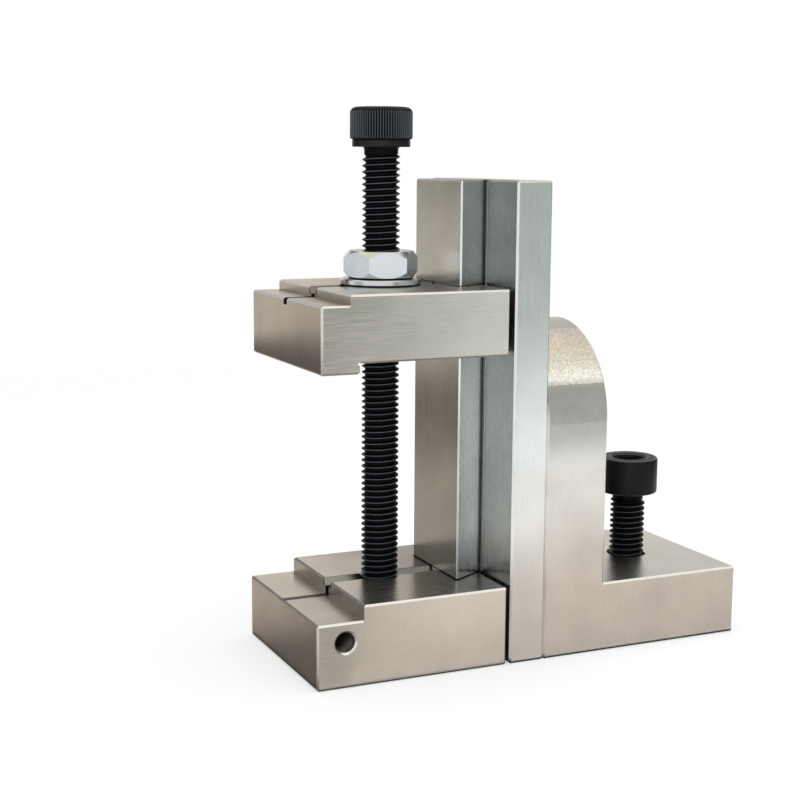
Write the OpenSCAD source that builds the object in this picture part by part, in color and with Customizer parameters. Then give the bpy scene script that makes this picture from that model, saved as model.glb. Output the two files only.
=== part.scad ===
// Vise for a wire cutting machine: an L base carries an upright dovetail rail, a lower jaw is fixed at the
// rail's foot, and an upper jaw slides on the rib and is pressed down by a nut on an upright screw.
// Origin: centre of the footprint on the surface it stands on. +X points from the jaws to the foot,
// +Y to the rear, +Z up. Millimetres.

/* [Blocks] */
// Width of the rail, the jaws and the base, front to rear
block_w = 40; // [36:1:50]

/* [Rail] */
// Height of the rail
rail_h = 100; // [95:1:130]
// Thickness of the rail plate
rail_t = 8; // [7:0.5:14]
// How far the dovetail rib stands out of the plate
rib_h = 8; // [6:0.5:10]
// Width of the rib at its root
rib_root_w = 12.7; // [11:0.1:16]
// Lean of the rib's flanks, from square to the plate
rib_lean = 30; // [20:1:32]
// Width and depth of the relief groove in each root corner
relief_w = 0.8; // [0.4:0.1:1.2]

/* [Lower jaw] */
// Reach of the lower jaw, from the plate's face to its nose
lower_reach = 43; // [40:0.5:60]
// Height of the lower jaw
lower_h = 16.6; // [15:0.1:24]
// Gap between the lower jaw's end and the plate
lower_gap = 0.8; // [0.5:0.1:2]
// Length of the ledge at the nose
ledge_l = 10; // [9:0.5:12]
// How far the ledge lies below the top
ledge_d = 3.1; // [2.5:0.1:4]
// Bore of the tapped hole in the front face
side_hole_d = 4.2; // [3.3:0.1:5]
// Depth of that tapped hole
side_hole_l = 12; // [8:1:16]
// Distance of that hole from the nose
side_hole_x = 6.1; // [5:0.1:9]
// Height of that hole above the underside
side_hole_z = 9.4; // [7:0.1:9.5]

/* [Upper jaw] */
// Reach of the upper jaw, from the plate's face to its nose
upper_reach = 42; // [40:0.5:60]
// Thickness of the upper jaw between its main faces
upper_t = 13.4; // [12:0.1:20]
// Height of its main underside above the base plane
upper_z = 65; // [40:0.5:70]
// Gap between the upper jaw's end and the plate
upper_gap = 1.2; // [0.5:0.1:2]
// Length of the step at the top of the nose
notch_l = 6; // [4:0.5:10]
// Depth of that step
notch_d = 2.05; // [1:0.05:3]
// Length of the gripping lip under the nose
lip_l = 8; // [5:0.5:8.5]
// How far the lip stands down from the main underside
lip_d = 2.05; // [1:0.05:2.2]
// Depth of the relief at the lip's root
lip_relief = 0.5; // [0.3:0.1:0.8]

/* [Both jaws] */
// Width of the centre groove at its floor
groove_w = 1.8; // [1:0.1:3]
// Width of the centre groove at its mouth
groove_mouth_w = 4.2; // [3.2:0.1:6]
// Height of the bevels at the groove's mouth
groove_bevel_h = 1.5; // [0.8:0.1:2]
// Depth of the upper jaw's groove
groove_d = 3.35; // [3.1:0.05:4.5]

/* [Base] */
// Length of the base, from the rail to the foot's end
base_l = 48.7; // [44:0.1:70]
// Thickness of the foot
foot_t = 15; // [12:0.5:18]
// Thickness of the upright
upright_t = 14.5; // [12:0.5:18]
// Height of the centre of the upright's round top
round_z = 50; // [46:1:60]
// Distance of the foot's hole from the rail
foot_hole_x = 33; // [30:0.5:40]
// Diameter of the foot's hole
foot_hole_d = 8.8; // [8.6:0.1:11]

/* [Clamp screw, nut and washer] */
// Distance of the clamp screw from the plate's face
clamp_x = 21; // [20:0.5:24]
// Outer diameter of the clamp screw's thread
clamp_d = 7.8; // [7:0.1:8.4]
// Length of the clamp screw under its head
clamp_l = 100; // [95:1:100]
// Height of the clamp screw's tip above the base plane
clamp_tip_z = 6.5; // [4:0.5:8]
// Bore of the upper jaw for the clamp screw
clamp_bore_d = 9; // [8.8:0.1:10]
// Diameter of the knurled part of the head
head_d = 12.8; // [11.5:0.1:14]
// Height of the head
head_h = 8; // [6:0.5:10]
// Diameter of the plain collar under the knurl
collar_d = 11.9; // [10:0.1:12.4]
// Height of that collar
collar_h = 1.5; // [1:0.1:2]
// Diameter of the plain neck under the head
neck_d = 7; // [6:0.1:7.4]
// Length of that neck
neck_l = 1.2; // [1:0.1:2.5]
// Width across the flats of the sockets of both M8 screws
socket_af = 6; // [5:0.5:6.5]
// Depth of those sockets
socket_depth = 4; // [3:0.5:5]
// Width across the nut's flats
nut_af = 13.6; // [12:0.1:15]
// Height of the nut
nut_h = 5.6; // [4:0.1:8]
// Angle by which the nut is turned
nut_turn = 49; // [0:1:59]
// Outer diameter of the washer
washer_d = 16.8; // [14.5:0.1:18]
// Hole of the washer
washer_bore_d = 8.6; // [8.5:0.1:9.5]
// Thickness of the washer
washer_t = 1.4; // [0.8:0.1:2.5]

/* [Base screw] */
// Outer diameter of the base screw's thread
base_screw_d = 7.8; // [7:0.1:8]
// Length of the base screw under its head
base_screw_l = 29.5; // [25:0.5:40]
// Diameter of the base screw's head
base_head_d = 13; // [11:0.1:13.5]

/* [Hidden fasteners] */
// Outer diameter of the rail screws and the lower jaw's screw
m6_d = 5.9; // [5:0.1:6.2]
// Diameter of their heads
m6_head_d = 10; // [9:0.1:10.4]
// Height of their heads
m6_head_h = 6; // [5:0.5:6]
// Width across the flats of their sockets
m6_socket_af = 5; // [4:0.5:5]
// Diameter of the counterbores for those heads
counterbore_d = 11; // [10.6:0.1:12]
// Length of each rail screw under its head
rail_screw_l = 20; // [18:1:20]
// Height of the upper rail screw
rail_screw_top_z = 55; // [52:1:57]
// Height of the lower rail screw
rail_screw_low_z = 27; // [25:1:30]
// Length of the lower jaw's screw under its head
jaw_screw_l = 16; // [14:1:16]
// Diameter of the dowel pins
dowel_d = 5; // [4:0.5:6]
// How far each dowel pin reaches into the rail
dowel_reach = 6; // [4:0.5:6]
// Distance of each dowel pin from the block's side
dowel_inset = 8; // [7:0.5:9]
// Height of the dowel pins
dowel_z = 41; // [38:1:44]

/* [Fits and edges] */
// Bevel on the ground blocks' edges
edge = 0.4; // [0.3:0.1:0.8]
// Gap between the rib's flanks and the jaws, square to the flank
flank_gap = 0.2; // [0.1:0.05:0.3]
// Gap between the rib's face and the jaws
face_gap = 0.3; // [0.2:0.05:0.5]
// Radial gap between a thread and its tapped hole or nut
thread_gap = 0.05; // [0.02:0.01:0.1]
// Radial gap around the dowel pins
dowel_gap = 0.02; // [0.01:0.01:0.05]
// Running gap between the nut and the washer
nut_gap = 0.05; // [0.02:0.01:0.1]

/* [Hidden] */
total_l = lower_reach + rail_t + base_l;
face_x = lower_reach - total_l / 2;
back_x = face_x + rail_t;
end_x = back_x + base_l;
upright_x = back_x + upright_t;
round_r = block_w / 2;
dowel_y = block_w / 2 - dowel_inset;
clamp_axis_x = face_x - clamp_x;
foot_hole_axis_x = back_x + foot_hole_x;
upper_top_z = upper_z + upper_t;
nut_z = upper_top_z + washer_t + nut_gap;
m6_seat_x = upright_x - m6_head_h - edge;
jaw_screw_z = lower_h / 2;
jaw_screw_seat_x = back_x - m6_head_h - edge / 2;
tap_spare = 1.5;
tip_bevel = 0.8;
mouth_bevel = 0.4;
cut = 1;
$fn = 96;
STEEL = "#b9b4ab";
RAIL_STEEL = "#aab3b4";
BLACK = "#1d1e20";
ZINC = "#c6ccd2";

// A step of length d from point a towards point b
function toward(a, b, d) = a + d * (b - a) / norm(b - a);
// An outline with its marked corners bevelled: each point is [x, y, bevel]
function bevelled(pts) = [
    for (i = [0 : len(pts) - 1])
        let (
            here = [pts[i][0], pts[i][1]],
            last = pts[(i + len(pts) - 1) % len(pts)],
            next = pts[(i + 1) % len(pts)]
        )
        each pts[i][2] > 0
            ? [toward(here, [last[0], last[1]], pts[i][2]), toward(here, [next[0], next[1]], pts[i][2])]
            : [here]
];
// Half width of the rib at a distance from the plate's face
function rib_half_w(out) = rib_root_w / 2 + out * tan(rib_lean);

// A profile in X and Z, extruded along Y about the centre plane
module across(w) {
    translate([0, w / 2, 0]) rotate([90, 0, 0]) linear_extrude(w) children();
}

// A four-sided bar that takes a bevel off an edge along Z, from z0 to z1
module edge_along_z(x, y, z0, z1, size = edge) {
    translate([x, y, z0]) linear_extrude(z1 - z0)
        polygon([[size, 0], [0, size], [-size, 0], [0, -size]]);
}

// The same along X, from x0 to x1
module edge_along_x(x0, x1, y, z) {
    translate([x0, y, z]) rotate([0, 90, 0]) edge_along_z(0, 0, 0, x1 - x0);
}

// The same along Y, from y0 to y1
module edge_along_y(x, y0, y1, z, size = edge) {
    translate([x, y0, z]) rotate([-90, 0, 0]) edge_along_z(0, 0, 0, y1 - y0, size);
}

// Its child in front and its mirror image at the rear
module front_and_rear() {
    children();
    mirror([0, 1, 0]) children();
}

// A tapped or drilled hole along Z, open at its top at z = 0, with a bevelled mouth
module bore(d, depth, mouth = mouth_bevel) {
    translate([0, 0, -depth]) cylinder(d = d, h = depth + cut);
    translate([0, 0, -mouth]) cylinder(d1 = d, d2 = d + 2 * (mouth + cut), h = mouth + cut);
}

// The dovetail rib's way through a jaw, from below z0 to above z1
module dovetail_way(z0, z1) {
    slack = flank_gap / cos(rib_lean);
    deep = rib_h + face_gap;
    translate([0, 0, z0 - cut]) linear_extrude(z1 - z0 + 2 * cut) polygon([
        [face_x, -rib_half_w(0) - slack],
        [face_x, rib_half_w(0) + slack],
        [face_x - deep, rib_half_w(deep) + slack],
        [face_x - deep, -rib_half_w(deep) - slack]
    ]);
}

// The centre groove of a jaw, along X from x0 to x1, with its floor at z0 and its mouth at z1
module centre_groove(x0, x1, z0, z1) {
    wide = groove_mouth_w / 2 + cut * (groove_mouth_w - groove_w) / (2 * groove_bevel_h);
    translate([x0, 0, 0]) rotate([90, 0, 90]) linear_extrude(x1 - x0) polygon([
        [-groove_w / 2, z0],
        [groove_w / 2, z0],
        [groove_w / 2, z1 - groove_bevel_h],
        [wide, z1 + cut],
        [-wide, z1 + cut],
        [-groove_w / 2, z1 - groove_bevel_h]
    ]);
}

// A socket head screw along Z with its head's seat at z = 0
module socket_screw(d, l, hd, hh, af, deep, top_bevel) {
    difference() {
        rotate_extrude() polygon([
            [0, -l],
            [d / 2 - tip_bevel, -l],
            [d / 2, tip_bevel - l],
            [d / 2, 0],
            [hd / 2, 0],
            [hd / 2, hh - top_bevel],
            [hd / 2 - top_bevel, hh],
            [0, hh]
        ]);
        hex_socket(af, deep, hh);
    }
}

// The socket of a screw's head, its mouth at z = top
module hex_socket(af, deep, top) {
    across_corners = af / cos(30);
    translate([0, 0, top - deep]) cylinder(d = across_corners, h = deep + cut, $fn = 6);
    translate([0, 0, top - mouth_bevel])
        cylinder(d1 = across_corners - mouth_bevel, d2 = across_corners + mouth_bevel + 2 * cut,
            h = mouth_bevel + cut);
}

// One of the rail screws, its head towards +X
module rail_screw(z) {
    color(BLACK) translate([m6_seat_x, 0, z]) rotate([0, 90, 0])
        socket_screw(m6_d, rail_screw_l, m6_head_d, m6_head_h, m6_socket_af, m6_head_h / 2, edge);
}

// One of the dowel pins, flush with the upright's far face
module dowel(y) {
    color(ZINC) translate([back_x - dowel_reach, y, dowel_z]) rotate([0, 90, 0])
        rotate_extrude() polygon([
            [0, 0],
            [dowel_d / 2 - edge, 0],
            [dowel_d / 2, edge],
            [dowel_d / 2, dowel_reach + upright_t - edge],
            [dowel_d / 2 - edge, dowel_reach + upright_t],
            [0, dowel_reach + upright_t]
        ]);
}

// Foot and upright in one block, the upright's top a half round
module l_base() {
    color(STEEL) difference() {
        union() {
            linear_extrude(foot_t) polygon(bevelled([
                [back_x, -block_w / 2, edge],
                [end_x, -block_w / 2, edge],
                [end_x, block_w / 2, edge],
                [back_x, block_w / 2, edge]
            ]));
            linear_extrude(round_z) polygon(bevelled([
                [back_x, -block_w / 2, edge],
                [upright_x, -block_w / 2, edge],
                [upright_x, block_w / 2, edge],
                [back_x, block_w / 2, edge]
            ]));
            translate([back_x, 0, round_z]) rotate([0, 90, 0]) rotate_extrude() polygon([
                [0, 0],
                [round_r - edge, 0],
                [round_r, edge],
                [round_r, upright_t - edge],
                [round_r - edge, upright_t],
                [0, upright_t]
            ]);
        }
        front_and_rear() {
            edge_along_x(back_x - cut, end_x + cut, -block_w / 2, 0);
            edge_along_x(upright_x, end_x + cut, -block_w / 2, foot_t);
        }
        edge_along_y(end_x, -block_w / 2 - cut, block_w / 2 + cut, 0);
        edge_along_y(end_x, -block_w / 2 - cut, block_w / 2 + cut, foot_t);
        edge_along_y(back_x, -block_w / 2 - cut, block_w / 2 + cut, 0);
        translate([foot_hole_axis_x, 0, foot_t]) bore(foot_hole_d, foot_t + cut, mouth_bevel / 2);
        for (z = [rail_screw_top_z, rail_screw_low_z]) translate([upright_x, 0, z]) rotate([0, 90, 0]) {
            bore(m6_d + 2 * thread_gap + mouth_bevel, upright_t + cut);
            bore(counterbore_d, upright_x - m6_seat_x);
        }
        for (side = [-1, 1]) translate([upright_x, side * dowel_y, dowel_z]) rotate([0, 90, 0])
            bore(dowel_d + 2 * dowel_gap, upright_t + cut);
    }
}

// Plate and dovetail rib in one piece
module rail() {
    relief = relief_w / sqrt(2);
    color(RAIL_STEEL) difference() {
        linear_extrude(rail_h) polygon(bevelled([
            [back_x, -block_w / 2, edge],
            [back_x, block_w / 2, edge],
            [face_x, block_w / 2, edge],
            [face_x, rib_half_w(0) + relief_w, 0],
            [face_x + relief, rib_half_w(0) + relief_w / 2, 0],
            [face_x, rib_half_w(0), 0],
            [face_x - rib_h, rib_half_w(rib_h), edge],
            [face_x - rib_h, -rib_half_w(rib_h), edge],
            [face_x, -rib_half_w(0), 0],
            [face_x + relief, -rib_half_w(0) - relief_w / 2, 0],
            [face_x, -rib_half_w(0) - relief_w, 0],
            [face_x, -block_w / 2, edge]
        ]));
        for (z = [0, rail_h]) {
            front_and_rear() {
                edge_along_x(face_x - cut, back_x + cut, -block_w / 2, z);
                edge_along_y(face_x, -block_w / 2 - cut, -rib_half_w(0) - relief_w, z);
            }
            edge_along_y(back_x, -block_w / 2 - cut, block_w / 2 + cut, z);
            edge_along_y(face_x - rib_h, -block_w / 2, block_w / 2, z);
        }
        for (z = [rail_screw_top_z, rail_screw_low_z]) translate([back_x, 0, z]) rotate([0, 90, 0])
            bore(m6_d + 2 * thread_gap, rail_screw_l - (m6_seat_x - back_x) + tap_spare);
        for (side = [-1, 1]) translate([back_x, side * dowel_y, dowel_z]) rotate([0, 90, 0])
            bore(dowel_d + 2 * dowel_gap, dowel_reach + mouth_bevel);
        translate([back_x, 0, jaw_screw_z]) rotate([0, 90, 0]) {
            bore(m6_d + 2 * thread_gap + mouth_bevel, rail_t + rib_h + cut);
            bore(counterbore_d, back_x - jaw_screw_seat_x);
        }
    }
}

// Fixed jaw with a ledge at its nose and a tapped hole in its front face
module lower_jaw() {
    nose_x = face_x - lower_reach;
    tail_x = face_x - lower_gap;
    step_x = nose_x + ledge_l;
    ledge_z = lower_h - ledge_d;
    color(STEEL) difference() {
        across(block_w) polygon(bevelled([
            [nose_x, 0, edge],
            [tail_x, 0, edge],
            [tail_x, lower_h, edge],
            [step_x, lower_h, edge],
            [step_x, ledge_z, 0],
            [nose_x, ledge_z, edge]
        ]));
        front_and_rear() {
            edge_along_x(nose_x - cut, tail_x + cut, -block_w / 2, 0);
            edge_along_x(step_x, tail_x + cut, -block_w / 2, lower_h);
            edge_along_x(nose_x - cut, step_x, -block_w / 2, ledge_z);
            edge_along_z(nose_x, -block_w / 2, -cut, lower_h + cut);
            edge_along_z(tail_x, -block_w / 2, -cut, lower_h + cut);
        }
        dovetail_way(0, lower_h);
        centre_groove(step_x - cut, tail_x + cut, ledge_z, lower_h);
        translate([clamp_axis_x, 0, lower_h]) bore(clamp_d + 2 * thread_gap, lower_h + cut);
        translate([nose_x + side_hole_x, -block_w / 2, side_hole_z]) rotate([90, 0, 0])
            bore(side_hole_d, side_hole_l);
        translate([face_x - rib_h - face_gap, 0, jaw_screw_z]) rotate([0, 90, 0])
            bore(m6_d + 2 * thread_gap, jaw_screw_depth() + tap_spare);
    }
}

// How far the lower jaw's screw reaches past the rib's way
function jaw_screw_depth() = jaw_screw_l - (jaw_screw_seat_x - face_x) - rib_h - face_gap;

// Sliding jaw with a step on top of its nose and a gripping lip below it
module upper_jaw() {
    nose_x = face_x - upper_reach;
    tail_x = face_x - upper_gap;
    step_x = nose_x + notch_l;
    lip_x = nose_x + lip_l;
    notch_z = upper_top_z - notch_d;
    lip_z = upper_z - lip_d;
    color(STEEL) difference() {
        across(block_w) polygon(bevelled([
            [nose_x, lip_z, edge],
            [lip_x, lip_z, edge],
            [lip_x, upper_z, 0],
            [tail_x, upper_z, edge],
            [tail_x, upper_top_z, edge],
            [step_x, upper_top_z, edge],
            [step_x, notch_z, 0],
            [nose_x, notch_z, edge]
        ]));
        edge_along_y(lip_x, -block_w / 2 - cut, block_w / 2 + cut, upper_z, lip_relief);
        front_and_rear() {
            edge_along_x(nose_x - cut, lip_x + edge, -block_w / 2, lip_z);
            edge_along_x(lip_x, tail_x + cut, -block_w / 2, upper_z);
            edge_along_x(step_x, tail_x + cut, -block_w / 2, upper_top_z);
            edge_along_x(nose_x - cut, step_x, -block_w / 2, notch_z);
            edge_along_z(nose_x, -block_w / 2, lip_z - cut, upper_top_z + cut);
            edge_along_z(tail_x, -block_w / 2, lip_z - cut, upper_top_z + cut);
        }
        dovetail_way(lip_z, upper_top_z);
        centre_groove(nose_x - cut, tail_x + cut, upper_top_z - groove_d, upper_top_z);
        translate([clamp_axis_x, 0, upper_z - cut]) cylinder(d = clamp_bore_d, h = upper_t + 2 * cut);
    }
}

// Upright screw, its tip screwed into the lower jaw
module clamp_screw() {
    r = clamp_d / 2;
    color(BLACK) translate([clamp_axis_x, 0, clamp_tip_z + clamp_l]) difference() {
        rotate_extrude() polygon([
            [0, -clamp_l],
            [r - tip_bevel, -clamp_l],
            [r, tip_bevel - clamp_l],
            [r, -neck_l - (clamp_d - neck_d) / 2],
            [neck_d / 2, -neck_l],
            [neck_d / 2, -mouth_bevel],
            [neck_d / 2 + mouth_bevel, 0],
            [collar_d / 2, 0],
            [collar_d / 2, collar_h],
            [head_d / 2 - edge, collar_h],
            [head_d / 2, collar_h + edge],
            [head_d / 2, head_h - tip_bevel],
            [head_d / 2 - tip_bevel, head_h],
            [0, head_h]
        ]);
        hex_socket(socket_af, socket_depth, head_h);
    }
}

// Hexagon nut with both ends chamfered
module clamp_nut() {
    corner_r = nut_af / 2 / cos(30);
    face_r = nut_af / 2 - edge / 2;
    past_r = corner_r + cut;
    lean_h = (past_r - face_r) * tan(30);
    color(ZINC) translate([clamp_axis_x, 0, nut_z]) difference() {
        intersection() {
            rotate([0, 0, nut_turn]) cylinder(r = corner_r, h = nut_h, $fn = 6);
            rotate_extrude() polygon([
                [0, 0],
                [face_r, 0],
                [past_r, lean_h],
                [past_r, nut_h - lean_h],
                [face_r, nut_h],
                [0, nut_h]
            ]);
        }
        translate([0, 0, nut_h]) bore(clamp_d + 2 * thread_gap, nut_h + cut);
    }
}

// Flat washer with its edges broken
module clamp_washer() {
    break_edge = edge / 2;
    color(ZINC) translate([clamp_axis_x, 0, upper_top_z]) rotate_extrude() polygon([
        [washer_bore_d / 2, 0],
        [washer_d / 2 - break_edge, 0],
        [washer_d / 2, break_edge],
        [washer_d / 2, washer_t - break_edge],
        [washer_d / 2 - break_edge, washer_t],
        [washer_bore_d / 2, washer_t]
    ]);
}

// Screw standing in the foot's hole, its tip on the base plane
module base_screw() {
    color(BLACK) translate([foot_hole_axis_x, 0, base_screw_l])
        socket_screw(base_screw_d, base_screw_l, base_head_d, head_h, socket_af, socket_depth, edge);
}

module rail_screw_upper() {
    rail_screw(rail_screw_top_z);
}

module rail_screw_lower() {
    rail_screw(rail_screw_low_z);
}

module dowel_front() {
    dowel(-dowel_y);
}

module dowel_rear() {
    dowel(dowel_y);
}

// Screw from the plate's back, through the rib, into the lower jaw
module lower_jaw_screw() {
    color(BLACK) translate([jaw_screw_seat_x, 0, jaw_screw_z]) rotate([0, 90, 0])
        socket_screw(m6_d, jaw_screw_l, m6_head_d, m6_head_h, m6_socket_af, m6_head_h / 2, edge);
}

l_base();
rail();
lower_jaw();
upper_jaw();
clamp_screw();
clamp_nut();
clamp_washer();
base_screw();
rail_screw_upper();
rail_screw_lower();
dowel_front();
dowel_rear();
lower_jaw_screw();
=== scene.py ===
"""Upright dovetail vise: the visible pieces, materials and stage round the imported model. Lengths are in
metres."""

import bmesh
import bpy
import numpy as np
from bpy.props import FloatProperty, FloatVectorProperty, IntProperty, PointerProperty
from bpy.types import Operator, Panel, PropertyGroup
from mathutils import Matrix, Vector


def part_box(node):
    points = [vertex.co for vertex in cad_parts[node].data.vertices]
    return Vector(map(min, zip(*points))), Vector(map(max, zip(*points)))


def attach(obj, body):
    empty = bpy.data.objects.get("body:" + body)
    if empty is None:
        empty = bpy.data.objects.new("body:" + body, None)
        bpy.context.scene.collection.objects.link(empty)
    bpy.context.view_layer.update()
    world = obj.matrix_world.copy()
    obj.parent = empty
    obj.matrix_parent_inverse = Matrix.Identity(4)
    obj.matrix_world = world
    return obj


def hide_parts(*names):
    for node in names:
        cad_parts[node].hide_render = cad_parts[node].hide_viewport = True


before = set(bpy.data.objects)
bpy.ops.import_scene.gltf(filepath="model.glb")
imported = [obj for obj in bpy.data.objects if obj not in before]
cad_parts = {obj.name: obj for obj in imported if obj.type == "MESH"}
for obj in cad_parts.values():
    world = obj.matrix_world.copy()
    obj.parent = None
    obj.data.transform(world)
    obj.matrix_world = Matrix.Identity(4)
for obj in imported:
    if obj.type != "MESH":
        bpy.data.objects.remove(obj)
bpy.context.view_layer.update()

bl_info = {
    "name": "Upright Dovetail Vise",
    "version": (1, 0, 0),
    "blender": (4, 5, 0),
    "location": "3D View > Sidebar > Vise",
    "description": "Makes the vise's screws, finishes and studio around the packed model",
    "category": "Object",
}

MM = 0.001
TURN = 2 * np.pi
WELD = 2e-6  # points closer than this are merged
FAR = 1.0  # a bound that lies well outside the vise
# Near black painted over the places of painted shade on the jaws and the rail.
PAINTED_SHADE_DARK = "#141210"
# Near black of the painted contact shade under the nut and the washer.
CONTACT_SHADE_BLACK = "#0C0C0C"
# Near white of the painted highlight on upward-looking bevels.
BEVEL_HIGHLIGHT_WHITE = "#FAFDFF"
# Lighter oxide on worn crests and rims, also a painted highlight for their glints.
WORN_GLINT_OXIDE = "#4C5056"
OILY_STEEL = "#5A5751"


def linear(code):
    """A colour written as an sRGB hex code, turned to linear light as red, green, blue and alpha."""
    parts = [int(code[i:i + 2], 16) / 255 for i in (1, 3, 5)]
    curved = [p / 12.92 if p <= 0.04045 else ((p + 0.055) / 1.055) ** 2.4 for p in parts]
    return (*curved, 1.0)


class ScrewSizes(PropertyGroup):
    """Sizes of the two M8 screws."""
    pitch: FloatProperty(
        name="Pitch", description="Distance from one thread crest to the next",
        default=1.25 * MM, unit="LENGTH", subtype="DISTANCE")
    crest: FloatProperty(
        name="Crest radius", description="Radius of the thread at its crest",
        default=3.9 * MM, unit="LENGTH", subtype="DISTANCE")
    root: FloatProperty(
        name="Root radius", description="Radius of the thread at its root",
        default=3.2 * MM, unit="LENGTH", subtype="DISTANCE")
    head: FloatProperty(
        name="Head height", description="Height of the cap heads",
        default=8 * MM, unit="LENGTH", subtype="DISTANCE")
    teeth: IntProperty(
        name="Knurl teeth", description="Straight teeth around the clamp screw's head", default=72, min=24)
    tooth: FloatProperty(
        name="Knurl depth", description="Depth of the knurl's grooves",
        default=0.3 * MM, unit="LENGTH", subtype="DISTANCE")
    across_flats: FloatProperty(
        name="Socket", description="Width across the flats of the hexagon sockets",
        default=6.0 * MM, unit="LENGTH", subtype="DISTANCE")
    socket_depth: FloatProperty(
        name="Socket depth", description="Depth of the hexagon sockets",
        default=4.0 * MM, unit="LENGTH", subtype="DISTANCE")


class TappedHole(PropertyGroup):
    """Sizes of the tapped hole in the lower jaw's front face."""
    reach: FloatProperty(
        name="Distance", description="Distance of the hole's axis from the jaw's nose",
        default=6.1 * MM, unit="LENGTH", subtype="DISTANCE")
    height: FloatProperty(
        name="Height", description="Height of the hole's axis above the jaw's underside",
        default=9.4 * MM, unit="LENGTH", subtype="DISTANCE")
    wall: FloatProperty(
        name="Wall radius", description="Radius of the hole's wall",
        default=2.09 * MM, unit="LENGTH", subtype="DISTANCE")
    ridge: FloatProperty(
        name="Ridge radius", description="Radius at the crests of the thread in the hole",
        default=1.8 * MM, unit="LENGTH", subtype="DISTANCE")
    pitch: FloatProperty(
        name="Pitch", description="Distance from one thread crest to the next",
        default=0.8 * MM, unit="LENGTH", subtype="DISTANCE")
    mouth: FloatProperty(
        name="Mouth", description="Depth of the bevelled mouth, where the thread starts",
        default=0.4 * MM, unit="LENGTH", subtype="DISTANCE")
    depth: FloatProperty(
        name="Depth", description="Depth of the thread in the hole",
        default=11 * MM, unit="LENGTH", subtype="DISTANCE")


class NutSizes(PropertyGroup):
    """Sizes of the clamp nut."""
    across_flats: FloatProperty(
        name="Across flats", description="Width across the nut's flats",
        default=13.6 * MM, unit="LENGTH", subtype="DISTANCE")
    turn: FloatProperty(
        name="Turn", description="Direction that one flat faces, in degrees from +X towards +Y", default=19.0)
    face: FloatProperty(
        name="Face radius", description="Radius of the flat face inside the chamfer",
        default=6.62 * MM, unit="LENGTH", subtype="DISTANCE")
    slope: FloatProperty(
        name="Chamfer slope", description="Drop of the chamfer for each unit outwards",
        default=1.15, min=0.3, max=1.4)
    bore: FloatProperty(
        name="Bore radius", description="Radius of the nut's bore",
        default=3.95 * MM, unit="LENGTH", subtype="DISTANCE")
    bevel: FloatProperty(
        name="Bore bevel", description="Width and height of the bevels at the bore's ends",
        default=0.5 * MM, unit="LENGTH", subtype="DISTANCE")


class FinishColours(PropertyGroup):
    """Colours of the finishes, in linear light."""
    jaw: FloatVectorProperty(
        name="Jaw steel", description="Ground stainless steel of the jaws",
        subtype="COLOR", size=4, default=linear("#ECE9E3"))
    rail: FloatVectorProperty(
        name="Rail steel", description="Ground stainless steel of the rail",
        subtype="COLOR", size=4, default=linear("#E9ECEB"))
    base: FloatVectorProperty(
        name="Base steel", description="Ground stainless steel of the base",
        subtype="COLOR", size=4, default=linear("#E3E1DD"))
    oxide: FloatVectorProperty(
        name="Black oxide", description="Black oxide on the alloy steel screws",
        subtype="COLOR", size=4, default=linear("#101215"))
    zinc: FloatVectorProperty(
        name="Zinc plate", description="Bright zinc plate on the nut and washer",
        subtype="COLOR", size=4, default=linear("#E6ECF0"))


class StudioSettings(PropertyGroup):
    """Camera and light of the studio."""
    lens: FloatProperty(
        name="Lens", description="Focal length of the camera on a 36 mm sensor",
        default=67.657, unit="CAMERA")
    overhead: FloatProperty(
        name="Overhead lamp", description="Power of the large soft lamp over the vise, in watts",
        default=4.0, min=0.0)
    ambient: FloatProperty(
        name="Ambient light", description="Strength of the light from all around", default=0.72, min=0.0)
    floor: FloatVectorProperty(
        name="Floor", description="Colour of the plain floor",
        subtype="COLOR", size=4, default=linear("#F6F7F7"))


def add_node(tree, kind, inputs=None, **settings):
    """Adds a node, gives it its settings, and fills each input with a value or a link. A link comes from a
    socket, or from a node, which then stands for its first output in use."""
    node = tree.nodes.new(kind)
    for name, value in settings.items():
        setattr(node, name, value)
    for key, value in (inputs or {}).items():
        if isinstance(value, bpy.types.Node):
            value = next(socket for socket in value.outputs if socket.enabled)
        if isinstance(value, bpy.types.NodeSocket):
            tree.links.new(value, node.inputs[key])
        else:
            node.inputs[key].default_value = value
    return node


def new_material(name):
    """An empty node material and its tree."""
    material = bpy.data.materials.new(name)
    material.use_nodes = True
    material.node_tree.nodes.clear()
    return material, material.node_tree


def darker(colour, factor):
    """A linear colour times a factor, with its alpha at 1."""
    return [part * factor for part in colour[:3]] + [1.0]


def grain(tree, place, across, along, axis):
    """Stretched noise: fine across the grain, long along the named axis, sizes in metres."""
    scale = [1 / across] * 3
    scale["XYZ".index(axis)] = 1 / along
    mapped = add_node(tree, "ShaderNodeMapping", {"Vector": place, "Scale": scale})
    return add_node(tree, "ShaderNodeTexNoise",
                    {"Vector": mapped, "Scale": 1.0, "Detail": 3.0, "Roughness": 0.6})


def zone(tree, *bounds):
    """1 where each value lies between its bounds, and 0 elsewhere. Bounds are given as (value, low, high)."""
    mask = None
    for value, low, high in bounds:
        above = add_node(tree, "ShaderNodeMath", {0: value, 1: low}, operation="GREATER_THAN")
        below = add_node(tree, "ShaderNodeMath", {0: value, 1: high}, operation="LESS_THAN")
        inside = add_node(tree, "ShaderNodeMath", {0: above, 1: below}, operation="MULTIPLY")
        if mask:
            inside = add_node(tree, "ShaderNodeMath", {0: mask, 1: inside}, operation="MULTIPLY")
        mask = inside
    return mask


def places(tree, place):
    """X, the distance from the middle plane and Z of a place on the vise."""
    parts = add_node(tree, "ShaderNodeSeparateXYZ", {0: place})
    side = add_node(tree, "ShaderNodeMath", {0: parts.outputs["Y"]}, operation="ABSOLUTE")
    return parts.outputs["X"], side, parts.outputs["Z"]


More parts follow.
